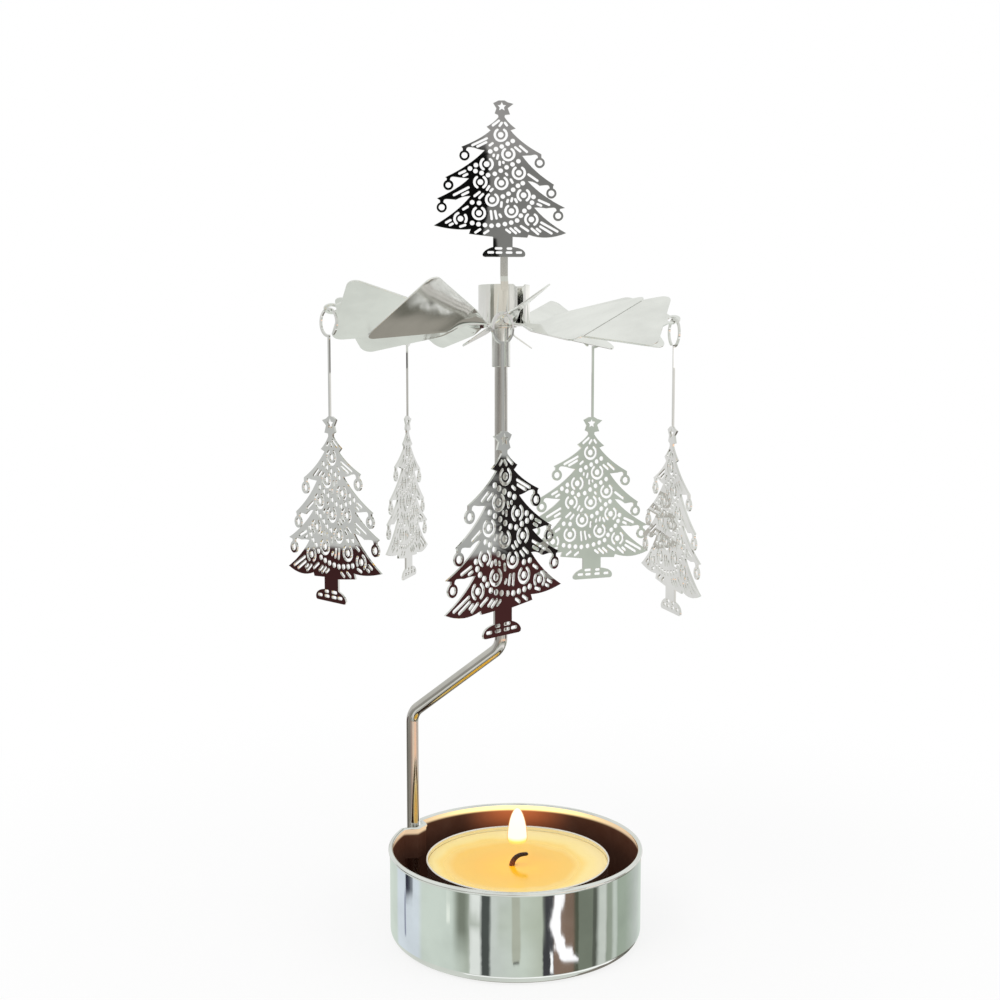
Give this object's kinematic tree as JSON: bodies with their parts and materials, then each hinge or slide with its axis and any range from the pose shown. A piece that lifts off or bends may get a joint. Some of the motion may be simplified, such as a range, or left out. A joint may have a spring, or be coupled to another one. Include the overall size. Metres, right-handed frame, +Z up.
{
  "type": "rotating candle holder",
  "caption": "Chromed tealight cup with a bent pole whose point carries a bladed rotor, turned by the candle's warm air, with hanging tree charms and a tree on top.",
  "frame": {"origin": "centre of the candle tray's flat underside, where it rests on the table", "axes": "+Z up; +X to the viewer's right and +Y away from the viewer, as in the picture"},
  "size_m": [0.0802, 0.089, 0.1688],
  "materials": {
    "candle_tray": "bright plated",
    "pole": "bright plated",
    "rotor": "mirror",
    "bearing_thimble": "bright",
    "top_ornament": "mirror",
    "charm": "mirror",
    "tealight_cup": "thin drawn",
    "wax": "satin wax",
    "wick_tab": "thin sheet",
    "wick": "charred cotton"
  },
  "bodies": {
    "tray": {"candle_tray": "candle_tray"},
    "pole": {"pole": "pole"},
    "rotor": {"rotor": "rotor", "bearing_thimble": "bearing_thimble", "top_collar": "top_ornament", "top_tree": "top_ornament"},
    "charm_1": {"charm_1_hanger": "charm", "charm_1_tree": "charm"},
    "charm_2": {"charm_2_hanger": "charm", "charm_2_tree": "charm"},
    "charm_3": {"charm_3_hanger": "charm", "charm_3_tree": "charm"},
    "charm_4": {"charm_4_hanger": "charm", "charm_4_tree": "charm"},
    "charm_5": {"charm_5_hanger": "charm", "charm_5_tree": "charm"},
    "tealight": {"tealight_cup": "tealight_cup", "wax": "wax", "wick_tab": "wick_tab", "wick": "wick"}
  },
  "joints": [
    {"name": "pole_lift", "type": "slide", "parent": "tray", "child": "pole", "axis": [0, 0, 1], "range_m": [0, 0.013]},
    {"name": "rotor_spin", "type": "hinge", "parent": "pole", "child": "rotor", "pos_m": [-0.00294, 0.0017, 0.1256], "axis": [0, 0, 1], "continuous": true},
    {"name": "charm_1_swing", "type": "hinge", "parent": "rotor", "child": "charm_1", "pos_m": [-0.00309, -0.0335, 0.12614], "axis": [-0.682, -0.7314, 0], "range_deg": [-12, 30]},
    {"name": "charm_2_swing", "type": "hinge", "parent": "rotor", "child": "charm_2", "pos_m": [0.03022, -0.00942, 0.12582], "axis": [0.2419, -0.9703, 0], "range_deg": [-12, 30]},
    {"name": "charm_3_swing", "type": "hinge", "parent": "rotor", "child": "charm_3", "pos_m": [0.01779, 0.03033, 0.12603], "axis": [0.9136, 0.4067, 0], "range_deg": [-12, 30]},
    {"name": "charm_4_swing", "type": "hinge", "parent": "rotor", "child": "charm_4", "pos_m": [-0.02338, 0.03024, 0.12634], "axis": [0.2419, 0.9703, 0], "range_deg": [-12, 30]},
    {"name": "charm_5_swing", "type": "hinge", "parent": "rotor", "child": "charm_5", "pos_m": [-0.03621, -0.00868, 0.12779], "axis": [-0.6691, 0.7431, 0], "range_deg": [-12, 30]},
    {"name": "tealight_lift", "type": "slide", "parent": "tray", "child": "tealight", "axis": [0, 0, 1], "range_m": [0, 0.022]}
  ]
}
